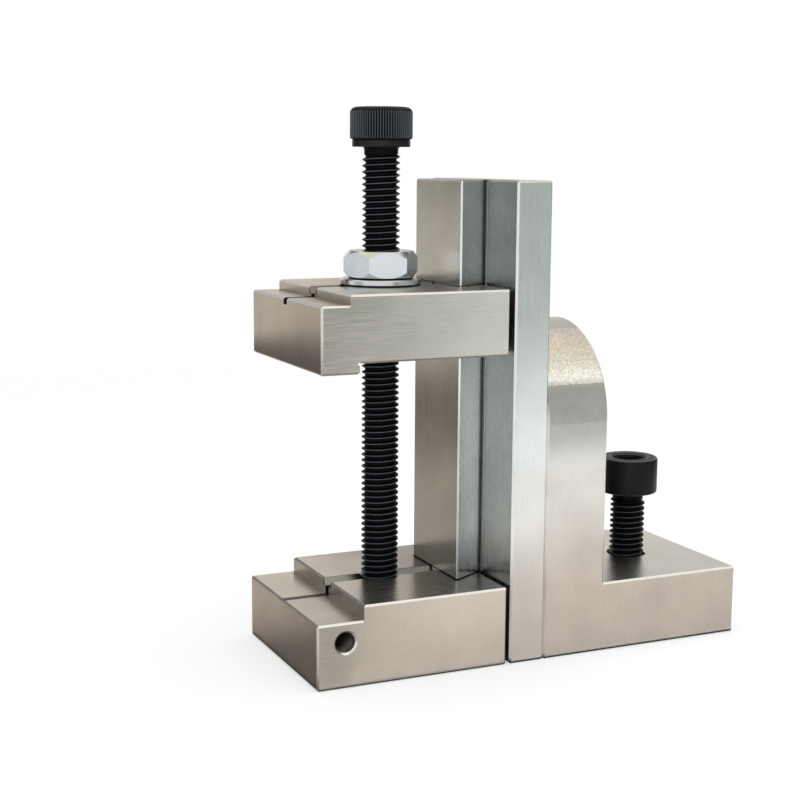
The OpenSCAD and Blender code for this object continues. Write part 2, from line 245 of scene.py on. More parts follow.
def ground_steel(name, colour, axis, across=0.18 * MM, along=9 * MM, roughness=0.28, turn=0.0,
                 shade_mask=None, relief=None, tone=None, edges=None):
    """Hardened stainless steel, surface ground: fine straight scratches run along one axis. They blur what
    the metal mirrors across them and give it faint light and dark lines. Faces square to that axis are
    ground along Y, turned by an angle, and more faintly. The grinder's lines, 0.05 mm apart on the real
    one, are drawn about 0.2 mm apart, so that they show. The places that the shade mask gives are painted
    near black as painted shade, relief gives broad heights in metres, and tone gives a factor on the colour,
    which paints light and shade. Between the two heights of edges, the bevels that look upwards get a
    painted highlight, a near white colour."""
    scratch_depth = 0.6e-6
    square = 0.8  # a face counts as square to the grain where its normal's share along it is over this
    end_contrast = 0.4
    cloud = 14 * MM
    line_share = 0.4
    dull = 0.86
    highlight_slope = (0.68, 0.73)  # upward share of a 45 degree bevel's normal
    full_shade = 0.8
    anisotropy = 0.6
    material, tree = new_material(name)
    place = add_node(tree, "ShaderNodeTexCoord").outputs["Object"]
    normal = add_node(tree, "ShaderNodeNewGeometry").outputs["Normal"]

    facing = add_node(tree, "ShaderNodeSeparateXYZ", {0: normal}).outputs[axis]
    squareness = add_node(tree, "ShaderNodeMath", {0: facing}, operation="ABSOLUTE")
    ends = add_node(tree, "ShaderNodeMath", {0: squareness, 1: square}, operation="GREATER_THAN")
    turned_place = add_node(tree, "ShaderNodeMapping", {"Vector": place, "Rotation": (0, 0, turn)})
    end_lines = add_node(tree, "ShaderNodeMath",
                         {0: grain(tree, turned_place, across, along, "Y"), 1: end_contrast,
                          2: (1 - end_contrast) / 2}, operation="MULTIPLY_ADD")
    lines = add_node(tree, "ShaderNodeMix",
                     {"Factor": ends, "A": grain(tree, place, across, along, axis), "B": end_lines},
                     data_type="FLOAT")
    main_lay = tuple(float(a == axis) for a in "XYZ")
    end_lay = (np.sin(turn), np.cos(turn), 0)
    lay = add_node(tree, "ShaderNodeMix", {"Factor": ends, "A": main_lay, "B": end_lay}, data_type="VECTOR")
    tangent = add_node(tree, "ShaderNodeVectorMath", {0: normal, 1: lay}, operation="CROSS_PRODUCT")

    clouds = add_node(tree, "ShaderNodeTexNoise", {"Vector": place, "Scale": 1 / cloud, "Detail": 2.0})
    faint_lines = add_node(tree, "ShaderNodeMath", {0: lines, 1: line_share}, operation="MULTIPLY")
    patches = add_node(tree, "ShaderNodeMath", {0: clouds, 1: faint_lines}, operation="ADD")
    shade = add_node(tree, "ShaderNodeMapRange",
                     {"Value": patches, "From Min": 0.52, "From Max": 0.88, "To Min": 0.0, "To Max": 1.0})
    tint = add_node(tree, "ShaderNodeMix",
                    {"Factor": shade, "A": darker(colour, dull), "B": list(colour)}, data_type="RGBA")
    if tone:
        # Painted light: the tone's factor paints reflection and shade into the colour.
        tint = add_node(tree, "ShaderNodeVectorMath",
                        {0: tint, "Scale": tone(tree, place)}, operation="SCALE")
    if edges:
        # Painted highlight: the bevels that look upwards, between the heights given, are painted near white.
        up = add_node(tree, "ShaderNodeSeparateXYZ", {0: normal}).outputs["Z"]
        height = add_node(tree, "ShaderNodeSeparateXYZ", {0: place}).outputs["Z"]
        highlight_mask = zone(tree, (up, *highlight_slope), (height, *edges))
        tint = add_node(tree, "ShaderNodeMix",
                        {"Factor": highlight_mask, "A": tint, "B": linear(BEVEL_HIGHLIGHT_WHITE)}, data_type="RGBA")
    metal = 1.0
    if shade_mask:
        # Painted shade: the mask's places are painted near black, and are not metal where the mask is full.
        oil = shade_mask(tree, place)
        tint = add_node(tree, "ShaderNodeMix",
                        {"Factor": oil, "A": tint, "B": linear(PAINTED_SHADE_DARK)}, data_type="RGBA")
        metal = add_node(tree, "ShaderNodeMath", {0: oil, 1: full_shade}, operation="LESS_THAN")

    rough = add_node(tree, "ShaderNodeMapRange",
                     {"Value": lines, "From Min": 0.3, "From Max": 0.7,
                      "To Min": roughness * 0.85, "To Max": roughness * 1.2})
    height = add_node(tree, "ShaderNodeMath",
                      {0: lines, 1: scratch_depth, 2: relief(tree, place) if relief else 0.0},
                      operation="MULTIPLY_ADD")
    bump = add_node(tree, "ShaderNodeBump", {"Height": height, "Strength": 1.0, "Distance": 1.0})
    shader = add_node(tree, "ShaderNodeBsdfPrincipled",
                      {"Base Color": tint, "Metallic": metal, "Roughness": rough, "Anisotropic": anisotropy,
                       "Tangent": tangent, "Normal": bump})
    add_node(tree, "ShaderNodeOutputMaterial", {"Surface": shader})
    return material


def groove_painted_shade(floor, sides):
    """Painted shade on a jaw: full in its centre groove, from the groove's floor up, and partial on the
    bevels beside it, which start at the height of sides. On the jaw's top the painted shade grows towards the
    rail."""
    slot_half, mouth_half = 0.95 * MM, 2.3 * MM
    clear = 0.05 * MM
    bevel_height = 1.5 * MM
    bevel_share, rail_shade_level = 0.6, 0.4
    film_start, film_end = -44 * MM, -16 * MM

    def mask(tree, place):
        x, side, z = places(tree, place)
        # Painted shade in the groove, on its bevels, and on the top towards the rail.
        slot = zone(tree, (side, -FAR, slot_half), (z, floor - clear, FAR))
        bevels = zone(tree, (side, -FAR, mouth_half), (z, sides, FAR))
        rail_shade = add_node(tree, "ShaderNodeMapRange",
                             {"Value": x, "From Min": film_start, "From Max": film_end,
                              "To Min": 0.0, "To Max": rail_shade_level}, interpolation_type="SMOOTHSTEP")
        on_top = zone(tree, (z, sides + bevel_height, FAR))
        film = add_node(tree, "ShaderNodeMath", {0: rail_shade, 1: on_top}, operation="MULTIPLY")
        partly = add_node(tree, "ShaderNodeMath",
                          {0: bevels, 1: bevel_share, 2: film}, operation="MULTIPLY_ADD")
        return add_node(tree, "ShaderNodeMath", {0: partly, 1: slot}, operation="MAXIMUM")
    return mask


def dovetail_painted_shade(face, root_half, tops):
    """Painted shade on the rail: full in the relief grooves at the rib's root, which lie behind the plate's
    face, and in a painted contact line at each jaw's top, given as its height and how dark it is. The lands
    beside the flanks get an even painted shade; the flanks are darkened faintly below 58 mm and more above
    72 mm, and the rib's bevels more towards the bottom, fading out at 66 mm."""
    rib_depth = 7.6 * MM
    rib_corner, land_edge = 10.6 * MM, 19.5 * MM
    clear = 0.03 * MM
    groove_start, groove_end = face + 0.02 * MM, face + 0.7 * MM
    thick_start, thick_end, thin_end = root_half - 0.05 * MM, root_half + 0.13 * MM, root_half + 0.85 * MM
    thin_share, land_share = 0.62, 0.24
    line_below, line_above = 0.1 * MM, 0.28 * MM

    def mask(tree, place):
        x, side, z = places(tree, place)
        # Painted shade in the relief grooves at the rib's root.
        in_groove = (x, groove_start, groove_end)
        thick = zone(tree, (side, thick_start, thick_end), in_groove)
        thin = zone(tree, (side, thick_end, thin_end), in_groove)
        root = add_node(tree, "ShaderNodeMath", {0: thin, 1: thin_share, 2: thick}, operation="MULTIPLY_ADD")

        film = zone(tree, (side, -FAR, land_edge), (x, face - rib_depth, face + clear))
        flank_share = add_node(tree, "ShaderNodeMapRange",
                               {"Value": z, "From Min": 58 * MM, "From Max": 72 * MM,
                                "To Min": 0.03, "To Max": 0.34}, interpolation_type="SMOOTHSTEP")
        lands = zone(tree, (x, face - clear, face + clear))
        share = add_node(tree, "ShaderNodeMix", {"Factor": lands, "A": flank_share, "B": land_share},
                         data_type="FLOAT")
        spread = add_node(tree, "ShaderNodeMath", {0: film, 1: share, 2: root}, operation="MULTIPLY_ADD")

        bevels = zone(tree, (side, rib_corner, FAR), (x, -FAR, face - rib_depth))
        dull = add_node(tree, "ShaderNodeMapRange",
                        {"Value": z, "From Min": 46 * MM, "From Max": 66 * MM,
                         "To Min": 0.42, "To Max": 0.0}, interpolation_type="SMOOTHSTEP")
        spread = add_node(tree, "ShaderNodeMath", {0: bevels, 1: dull, 2: spread}, operation="MULTIPLY_ADD")

        # Painted contact shade: a dark line on the rail at each jaw's top.
        for top, thickness in tops:
            line = zone(tree, (z, top - line_below, top + line_above), (x, -FAR, face + clear))
            spread = add_node(tree, "ShaderNodeMath", {0: line, 1: thickness, 2: spread},
                              operation="MULTIPLY_ADD", use_clamp=True)
        return spread
    return mask


def round_top_relief(tree, place):
    """Broad form of the upright's round top: the belt has rounded its face over by about 3 degrees from 40
    mm up, and left it speckled, with marks about 0.4 mm wide, from 52 mm up."""
    height = add_node(tree, "ShaderNodeSeparateXYZ", {0: place}).outputs["Z"]
    bend = add_node(tree, "ShaderNodeMapRange",
                    {"Value": height, "From Min": 40 * MM, "From Max": 57 * MM,
                     "To Min": 0.0, "To Max": -0.6 * MM}, interpolation_type="SMOOTHERSTEP")
    speckle = add_node(tree, "ShaderNodeTexNoise", {"Vector": place, "Scale": 1 / (0.4 * MM), "Detail": 2.0})
    speckle_depth = add_node(tree, "ShaderNodeMapRange",
                             {"Value": height, "From Min": 52 * MM, "From Max": 58 * MM,
                              "To Min": 0.0, "To Max": 0.016 * MM})
    return add_node(tree, "ShaderNodeMath", {0: speckle, 1: speckle_depth, 2: bend}, operation="MULTIPLY_ADD")


def round_top_painted_light(tree, place):
    """How light the upright's front is painted, as painted reflection and shade on the round top: lighter
    from a faint, darker painted line at 58 mm up to 68.5 mm, darkest just below that line, and duller over
    the crown above it. The speckle in the lighter band is the belt's real marks."""
    belt_start, belt_end = 58 * MM, 68.5 * MM
    line_width, line_share = 0.25 * MM, 0.12
    height = add_node(tree, "ShaderNodeSeparateXYZ", {0: place}).outputs["Z"]
    below = add_node(tree, "ShaderNodeMapRange",
                     {"Value": height, "From Min": 40 * MM, "From Max": belt_start,
                      "To Min": 1.0, "To Max": 0.86}, interpolation_type="SMOOTHSTEP")
    speckle = add_node(tree, "ShaderNodeTexNoise", {"Vector": place, "Scale": 1 / (0.45 * MM), "Detail": 3.0})
    above = add_node(tree, "ShaderNodeMapRange",
                     {"Value": speckle, "From Min": 0.3, "From Max": 0.7, "To Min": 0.8, "To Max": 1.3})
    belt = zone(tree, (height, belt_start, belt_end))
    on_line = zone(tree, (height, belt_start - line_width, belt_start))
    line = add_node(tree, "ShaderNodeMath", {0: on_line, 1: -line_share, 2: 1.0}, operation="MULTIPLY_ADD")
    both = add_node(tree, "ShaderNodeMix", {"Factor": belt, "A": below, "B": above}, data_type="FLOAT")
    return add_node(tree, "ShaderNodeMath", {0: both, 1: line}, operation="MULTIPLY")


def black_oxide(name, colour, axis_x=0.0, wear_and_glint=(), dark_radius=0.0, gloss=0.42):
    """Alloy steel with a black oxide finish, slightly oily: a near black skin with a soft satin gloss and a
    fine mottle of about 0.4 mm from the bath. The wear and glint bands give the radii round the screw's axis
    between which the colour is lighter: crests polished by handling, and a painted highlight for their glints
    as well. Inside the dark radius, in the thread, the oil swallows nearly all light. Gloss is the specular
    level of the rest."""
    oily_gloss = 0.06
    fade = 0.1 * MM
    material, tree = new_material(name)
    place = add_node(tree, "ShaderNodeTexCoord").outputs["Object"]
    mottle = add_node(tree, "ShaderNodeTexNoise", {"Vector": place, "Scale": 1 / (0.4 * MM), "Detail": 3.0})
    tint = add_node(tree, "ShaderNodeMix",
                    {"Factor": mottle, "A": darker(colour, 0.4), "B": list(colour)}, data_type="RGBA")
    from_axis = add_node(tree, "ShaderNodeVectorMath", {0: place, 1: (axis_x, 0, 0)}, operation="SUBTRACT")
    flat = add_node(tree, "ShaderNodeVectorMath", {0: from_axis, 1: (1, 1, 0)}, operation="MULTIPLY")
    radius = add_node(tree, "ShaderNodeVectorMath", {0: flat}, operation="LENGTH")
    # Wear and painted highlight: lighter bands between the given radii.
    for low, high in wear_and_glint:
        tint = add_node(tree, "ShaderNodeMix",
                        {"Factor": zone(tree, (radius, low, high)), "A": tint, "B": linear(WORN_GLINT_OXIDE)},
                        data_type="RGBA")
    rough = add_node(tree, "ShaderNodeMapRange", {"Value": mottle, "To Min": 0.3, "To Max": 0.5})
    level = add_node(tree, "ShaderNodeMapRange",
                     {"Value": radius, "From Min": dark_radius - fade, "From Max": dark_radius,
                      "To Min": oily_gloss, "To Max": gloss})
    bump = add_node(tree, "ShaderNodeBump", {"Height": mottle, "Strength": 0.5, "Distance": 0.005 * MM})
    shader = add_node(tree, "ShaderNodeBsdfPrincipled",
                      {"Base Color": tint, "Metallic": 0.0, "IOR": 1.45, "Specular IOR Level": level,
                       "Roughness": rough, "Normal": bump})
    add_node(tree, "ShaderNodeOutputMaterial", {"Surface": shader})
    return material


def oily_steel(name):
    """Cut steel in a tapped hole, dark with cutting oil: a dim metal with a soft gloss."""
    material, tree = new_material(name)
    shader = add_node(tree, "ShaderNodeBsdfPrincipled",
                      {"Base Color": linear(OILY_STEEL), "Metallic": 1.0, "Roughness": 0.38})
    add_node(tree, "ShaderNodeOutputMaterial", {"Surface": shader})
    return material


def zinc_plate(name, colour, shade_top):
    """Steel with a bright electroplated zinc coat and a clear blue passivate: smooth, with faint cloudy
    patches a few millimetres wide and fine scratches from the barrel. Below the height given it is painted
    near black and not metal, as painted contact shade."""
    material, tree = new_material(name)
    place = add_node(tree, "ShaderNodeTexCoord").outputs["Object"]
    cloud = add_node(tree, "ShaderNodeTexNoise", {"Vector": place, "Scale": 1 / (2.5 * MM), "Detail": 4.0})
    scratches = add_node(tree, "ShaderNodeTexNoise",
                         {"Vector": place, "Scale": 1 / (0.3 * MM), "Detail": 2.0})
    tint = add_node(tree, "ShaderNodeMix",
                    {"Factor": cloud, "A": darker(colour, 0.8), "B": list(colour)}, data_type="RGBA")
    height = add_node(tree, "ShaderNodeSeparateXYZ", {0: place}).outputs["Z"]
    # Painted contact shade: near black and not metal below the given height.
    unshaded = add_node(tree, "ShaderNodeMath", {0: height, 1: shade_top}, operation="GREATER_THAN")
    tint = add_node(tree, "ShaderNodeMix",
                    {"Factor": unshaded, "A": linear(CONTACT_SHADE_BLACK), "B": tint}, data_type="RGBA")
    rough = add_node(tree, "ShaderNodeMapRange", {"Value": cloud, "To Min": 0.12, "To Max": 0.34})
    bump = add_node(tree, "ShaderNodeBump", {"Height": scratches, "Strength": 0.4, "Distance": 0.004 * MM})
    shader = add_node(tree, "ShaderNodeBsdfPrincipled",
                      {"Base Color": tint, "Metallic": unshaded, "Roughness": rough, "Normal": bump})
    add_node(tree, "ShaderNodeOutputMaterial", {"Surface": shader})
    return material


def dress(name, material):
    """Gives a CAD node's object its material and slot."""
    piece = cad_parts[name]
    piece.data.materials.clear()
    piece.data.materials.append(material)


def grid_faces(rows, columns):
    """Quads of a grid of rows by columns, numbered row by row. They face the side that columns times rows
    gives."""
    i, j = np.meshgrid(np.arange(rows - 1), np.arange(columns - 1), indexing="ij")
    corner = (i * columns + j).ravel()
    return np.stack([corner, corner + 1, corner + columns + 1, corner + columns], axis=1)


def surface_piece(name, grid, material):
    """A closed piece from one grid of points, shape (rows, columns, 3): its seam, poles and collapsed rows
    are welded, and edges sharper than the crease angle stay crisp."""
    crease = np.radians(30)
    rows, columns = grid.shape[:2]
    mesh = bpy.data.meshes.new(name)
    mesh.from_pydata(grid.reshape(-1, 3), [], grid_faces(rows, columns))
    shape = bmesh.new()
    shape.from_mesh(mesh)
    bmesh.ops.remove_doubles(shape, verts=shape.verts, dist=WELD)
    bmesh.ops.dissolve_degenerate(shape, edges=shape.edges, dist=WELD / 4)
    bmesh.ops.recalc_face_normals(shape, faces=shape.faces)
    shape.to_mesh(mesh)
    shape.free()
    mesh.shade_smooth()
    mesh.set_sharp_from_angle(angle=crease)
    mesh.materials.append(material)
    piece = bpy.data.objects.new(name, mesh)
    bpy.context.scene.collection.objects.link(piece)
    return piece


def turned(profile, around):
    """Points of a turned surface: each (radius, height) of the profile is carried round the axis. Radii may
    be arrays, one value for each angle."""
    radius = np.stack([np.broadcast_to(r, around.shape) for r, _ in profile])
    height = np.stack([np.broadcast_to(z, around.shape) for _, z in profile])
    return np.stack([radius * np.cos(around), radius * np.sin(around), height], axis=-1)


def helix(low, high, pitch, around):
    """A 60 degree thread profile of root flat, flank, crest flat and flank, carried along a right-hand
    helix, so height = pitch * (profile position + turns round the axis). Gives each point's lift, 0 at the
    root and 1 at the crest, and its height, held between the two ends."""
    steps = np.array([0.0, 0.125, 0.4375, 0.5625, 0.875])
    lift = np.array([0.0, 0.0, 1.0, 1.0, 0.0])
    turns = int(np.ceil((high - low) / pitch)) + 2
    place = (np.arange(turns)[:, None] + steps).ravel()[:, None]
    height = low - pitch + pitch * (place + around / TURN)
    return np.tile(lift, turns)[:, None] + 0 * around, np.clip(height, low, high)


def thread(low, high, sizes, low_end, high_end, around):
    """Points of a screw's thread between two heights. The radius is held under a 45 degree cone at each
    end, and points past an end close up on its ring."""
    lift, height = helix(low, high, sizes.pitch, around)
    radius = sizes.root + (sizes.crest - sizes.root) * lift
    radius = np.minimum(radius, np.minimum(low_end + height - low, high_end + high - height))
    return np.stack([radius * np.cos(around), radius * np.sin(around), height], axis=-1)


def hexagon(flat, around):
    """Distance from the centre to the side of a hexagon at each angle: half the width across flats, over the
    cosine of the angle from the nearest flat's middle."""
    return flat / 2 / np.cos((around + TURN / 12) % (TURN / 6) - TURN / 12)


def make_screw(name, node, axis_x, tip, neck, neck_r, head, material):
    """One socket head screw as a single closed surface: bevelled tip, thread, neck, head profile, socket."""
    sizes = bpy.context.scene.vise_screws
    tip_bevel = 0.8 * MM
    around = np.linspace(0, TURN, sizes.teeth * 2 + 1)
    tip_r = sizes.crest - tip_bevel
    low_part = turned([(0, tip), (tip_r, tip)], around)
    thread_part = thread(tip, neck, sizes, tip_r, neck_r, around)
    high_part = turned(head(around), around)
    grid = np.concatenate([low_part, thread_part, high_part])
    grid[..., 0] += axis_x
    piece = surface_piece(name, grid, material)
    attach(piece, "base")
    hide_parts(node)


def socket_profile(top, rim, sizes, around):
    """The head's end from its rim inwards: a round bevel, the hexagon's walls and a shallow drilled floor."""
    lip, bevel_width, bevel_depth = 0.3 * MM, 0.25 * MM, 0.35 * MM
    wall_start = 0.6 * MM
    drill_depth = 1.2 * MM
    corner = sizes.across_flats / 2 / np.cos(TURN / 12)
    flats = hexagon(sizes.across_flats, around)
    return [
        (rim, top),
        (corner + lip, top),
        (np.minimum(corner, flats + bevel_width), top - bevel_depth),
        (flats, top - wall_start),
        (flats, top - sizes.socket_depth),
        (0, top - sizes.socket_depth - drill_depth),
    ]


def crest_wear_and_glint(sizes):
    """Radii between which a thread's crests are worn lighter, also a painted highlight for their glints."""
    return sizes.crest - 0.03 * MM, sizes.crest + 0.1 * MM


class VISE_OT_clamp_screw(Operator):
    """Upright clamp screw with a knurled head"""
    bl_idname = "vise.clamp_screw"
    bl_label = "Clamp screw"

    def execute(self, context):
        sizes = context.scene.vise_screws
        low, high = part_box("clamp_screw")
        axis_x = (low.x + high.x) / 2
        top = high.z
        seat = top - sizes.head
        head_r, collar_r, neck_r = 6.4 * MM, 5.95 * MM, 3.5 * MM
        neck_length, collar_height = 1.5 * MM, 1.4 * MM
        fillet, edge = 0.5 * MM, 0.15 * MM

        def head(around):
            teeth = np.arange(around.size) % 2 * sizes.tooth
            return [
                (neck_r, seat - neck_length),
                (neck_r, seat - fillet),
                (neck_r + edge, seat - edge),
                (neck_r + fillet, seat),
                (collar_r - edge, seat),
                (collar_r, seat + edge),
                (collar_r, seat + collar_height - edge),
                (collar_r - edge, seat + collar_height),
                (head_r - sizes.tooth - 0.1 * MM, seat + 1.5 * MM),
                (head_r - teeth, seat + 1.8 * MM),
                (head_r - teeth, top - 1.0 * MM),
                (head_r - 0.3 * MM - teeth * 0.5, top - 0.45 * MM),
                (head_r - 0.7 * MM, top - edge),
                *socket_profile(top, head_r - 1.2 * MM, sizes, around),
            ]

        # Knurl crests worn lighter, also a painted highlight for their glints.
        knurl_wear_and_glint = (head_r - 0.12 * MM, head_r + 0.1 * MM)
        oxide = black_oxide("Black oxide clamp screw", context.scene.vise_colours.oxide, axis_x,
                            [crest_wear_and_glint(sizes), knurl_wear_and_glint], crest_wear_and_glint(sizes)[0], gloss=0.36)
        make_screw("clamp_screw_threaded", "clamp_screw", axis_x, low.z, seat - neck_length, neck_r, head,
                   oxide)
        return {"FINISHED"}


class VISE_OT_base_screw(Operator):
    """Base screw with a plain head, standing in the foot's hole"""
    bl_idname = "vise.base_screw"
    bl_label = "Base screw"

    def execute(self, context):
        sizes = context.scene.vise_screws
        low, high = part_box("base_screw")
        axis_x = (low.x + high.x) / 2
        top = high.z
        seat = top - sizes.head
        head_r, neck_r, mouth_r = 6.5 * MM, 3.45 * MM, 4.15 * MM
        neck_length = 1.7 * MM
        fillet, edge = 0.5 * MM, 0.25 * MM
        mouth_depth = 0.45 * MM

        def head(around):
            return [
                (neck_r, seat - neck_length),
                (neck_r, seat - fillet),
                (neck_r + fillet, seat),
                (head_r - edge, seat),
                (head_r, seat + edge),
                (head_r, top - 0.55 * MM),
                (head_r - 0.15 * MM, top - 0.2 * MM),
                (head_r - 0.5 * MM, top),
                (mouth_r + edge, top),
                (mouth_r, top - 0.05 * MM),
                *socket_profile(top - mouth_depth, mouth_r - 0.3 * MM, sizes, around),
            ]

        # Socket mouth and rim worn lighter, also a painted highlight for their glints.
        mouth_wear_and_glint = (mouth_r - 0.02 * MM, mouth_r + 0.27 * MM)
        rim_wear_and_glint = (head_r - 0.45 * MM, head_r - 0.15 * MM)
        oxide = black_oxide("Black oxide base screw", context.scene.vise_colours.oxide, axis_x,
                            [crest_wear_and_glint(sizes), mouth_wear_and_glint, rim_wear_and_glint], crest_wear_and_glint(sizes)[0],
                            gloss=0.25)
        make_screw("base_screw_threaded", "base_screw", axis_x, low.z, seat - neck_length, neck_r, head,
                   oxide)
        return {"FINISHED"}


class VISE_OT_ground_blocks(Operator):
    """Ground steel finishes on the base, the rail and the two jaws"""
    bl_idname = "vise.ground_blocks"
    bl_label = "Ground blocks"

    def execute(self, context):
        colours = context.scene.vise_colours
        lower_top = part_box("lower_jaw")[1].z
        upper_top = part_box("upper_jaw")[1].z
        bevel_start = 1.55 * MM
        for jaw, top, groove_depth in (("lower", lower_top, 3.1 * MM), ("upper", upper_top, 3.35 * MM)):
            # Painted shade in each jaw's groove and towards the rail; painted highlight on every upward
            # bevel.
            steel = ground_steel(f"Ground stainless {jaw} jaw", colours.jaw, "X",
                                 shade_mask=groove_painted_shade(top - groove_depth, top - bevel_start), edges=(-FAR, FAR))
            dress(f"{jaw}_jaw", steel)

        plate_thickness = 8 * MM
        plate_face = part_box("rail")[1].x - plate_thickness
        root_half = 6.35 * MM
        # Painted contact shade lines at each jaw's top: full at the lower jaw, fainter at the upper.
        contact_shade_lines = ((lower_top, 1.0), (upper_top, 0.45))
        steel = ground_steel("Ground stainless rail", colours.rail, "Z", roughness=0.25,
                             shade_mask=dovetail_painted_shade(plate_face, root_half, contact_shade_lines))
        dress("rail", steel)

        over_foot = 20 * MM
        # Painted highlight on the base's upward bevels up to 20 mm, and painted reflection and shade on the
        # round top.
        steel = ground_steel("Ground stainless base", colours.base, "Z", along=6 * MM, turn=np.radians(50),
                             relief=round_top_relief, tone=round_top_painted_light, edges=(-FAR, over_foot))
        dress("l_base", steel)
        return {"FINISHED"}


class VISE_OT_side_hole_thread(Operator):
    """Thread in the lower jaw's tapped hole: a thin sleeve whose inside carries the ridges"""
    bl_idname = "vise.side_hole_thread"
    bl_label = "Side hole thread"

    def execute(self, context):
        hole = context.scene.vise_hole
        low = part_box("lower_jaw")[0]
        steps = 48
        sleeve_wall = 0.005 * MM
        around = np.linspace(0, TURN, steps + 1)
        lift, height = helix(-hole.depth, -hole.mouth, hole.pitch, around)
        fade = np.clip(np.minimum(height + hole.depth, -hole.mouth - height) / hole.pitch, 0, 1)
        radius = hole.wall - (hole.wall - hole.ridge) * lift * fade
        ridges = np.stack([radius * np.cos(around), radius * np.sin(around), height], axis=-1)
        outside = hole.wall + sleeve_wall
        back = turned([(outside, -hole.mouth), (outside, -hole.depth)], around)
        sleeve = np.concatenate([ridges, back, ridges[:1]])
        grid = np.stack([low.x + hole.reach + sleeve[..., 0], low.y - sleeve[..., 2],
                         low.z + hole.height + sleeve[..., 1]], axis=-1)
        piece = surface_piece("side_hole_thread", grid, oily_steel("Oily tapped steel"))
        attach(piece, "base")
        return {"FINISHED"}


class VISE_OT_nut_and_washer(Operator):
    """Zinc-plated clamp nut with deep chamfers, and its washer"""
    bl_idname = "vise.nut_and_washer"
    bl_label = "Nut and washer"

    def execute(self, context):
        sizes = context.scene.vise_nut
        zinc = context.scene.vise_colours.zinc
        low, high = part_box("clamp_nut")
        start = np.radians(sizes.turn)
        steps = 144
        around = np.linspace(start, start + TURN, steps + 1)
        side = hexagon(sizes.across_flats, around - start)
        drop = (side - sizes.face) * sizes.slope
        grid = turned([
            (sizes.bore, low.z + sizes.bevel),
            (sizes.bore + sizes.bevel, low.z),
            (sizes.face, low.z),
            (side, low.z + drop),
            (side, high.z - drop),
            (sizes.face, high.z),
            (sizes.bore + sizes.bevel, high.z),
            (sizes.bore, high.z - sizes.bevel),
            (sizes.bore, low.z + sizes.bevel),
        ], around)
        grid[..., 0] += (low.x + high.x) / 2
        # Heights of the painted contact shade at the feet of the nut and the washer.
        nut_shade, washer_shade = 0.3 * MM, 0.42 * MM
        nut = surface_piece("clamp_nut_chamfered", grid,
                            zinc_plate("Bright zinc plate nut", zinc, low.z + nut_shade))
        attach(nut, "nut")
        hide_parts("clamp_nut")
        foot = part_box("clamp_washer")[0].z
        dress("clamp_washer", zinc_plate("Bright zinc plate washer", zinc, foot + washer_shade))
        return {"FINISHED"}


class VISE_OT_inner_fasteners(Operator):
    """Finishes of the screws and dowels that hold the rail, the base and the lower jaw together"""
    bl_idname = "vise.inner_fasteners"
    bl_label = "Inner fasteners"

    def execute(self, context):
        colours = context.scene.vise_colours
        oxide = black_oxide("Black oxide inner screws", colours.oxide)
        for name in ("rail_screw_upper", "rail_screw_lower", "lower_jaw_screw"):
            dress(name, oxide)
        steel = ground_steel("Ground dowel pins", colours.rail, "X", across=0.15 * MM, along=4 * MM)
        for name in ("dowel_front", "dowel_rear"):
            dress(name, steel)
        return {"FINISHED"}


def reach_rays(tree):
    """1 for rays that show the background: from the camera, in reflections and through glass."""
    path = add_node(tree, "ShaderNodeLightPath")
    seen = add_node(tree, "ShaderNodeMath",
                    {0: path.outputs["Is Camera Ray"], 1: path.outputs["Is Glossy Ray"]}, operation="MAXIMUM")
    return add_node(tree, "ShaderNodeMath",
                    {0: seen, 1: path.outputs["Is Transmission Ray"]}, operation="MAXIMUM")


def shades(tree, axis, low, high, stops):
    """A run of colours along one axis between two places in metres, with stops as (share of the way,
    sRGB)."""
    place = add_node(tree, "ShaderNodeTexCoord").outputs["Object"]
    along = add_node(tree, "ShaderNodeSeparateXYZ", {0: place}).outputs[axis]
    share = add_node(tree, "ShaderNodeMapRange", {"Value": along, "From Min": low, "From Max": high})
    ramp = add_node(tree, "ShaderNodeValToRGB", {"Fac": share})
    elements = ramp.color_ramp.elements
    elements.remove(elements[-1])
    elements[0].position, elements[0].color = stops[0][0], linear(stops[0][1])
    for position, code in stops[1:]:
        elements.new(position).color = linear(code)
    return ramp


def stage_sheet(name, corners, colour, strength=1.0):
    """A studio sheet that only mirrors see. Its colour is an sRGB code, or the axis, ends and stops of a
    run."""
    mesh = bpy.data.meshes.new(name)
    mesh.from_pydata(corners, [], [tuple(range(len(corners)))])
    sheet = bpy.data.objects.new(name, mesh)
    bpy.context.scene.collection.objects.link(sheet)
    material, tree = new_material(name)
    tone = linear(colour) if isinstance(colour, str) else shades(tree, *colour)
    glow = add_node(tree, "ShaderNodeEmission", {"Color": tone, "Strength": strength})
    add_node(tree, "ShaderNodeOutputMaterial", {"Surface": glow})
    mesh.materials.append(material)
    sheet.visible_camera = False
    sheet.visible_diffuse = False
    sheet.visible_shadow = False


def flat_sheet(name, left, right, near, far, height, colour, strength=1.0):
    """A level sheet between two places along X and two along Y."""
    corners = [(left, near, height), (right, near, height), (right, far, height), (left, far, height)]
    stage_sheet(name, corners, colour, strength)


def wall(name, start, end, distance, height, colour):
    """An upright sheet from the floor up, between two directions in degrees from +X towards +Y. Its colour
    is an sRGB code, or the stops of a run from its foot to its top."""
    ends = [(distance * np.cos(turn), distance * np.sin(turn)) for turn in np.radians((start, end))]
    corners = [(*ends[0], 0.0), (*ends[1], 0.0), (*ends[1], height), (*ends[0], height)]
    stage_sheet(name, corners, colour if isinstance(colour, str) else ("Z", 0.0, height, colour))


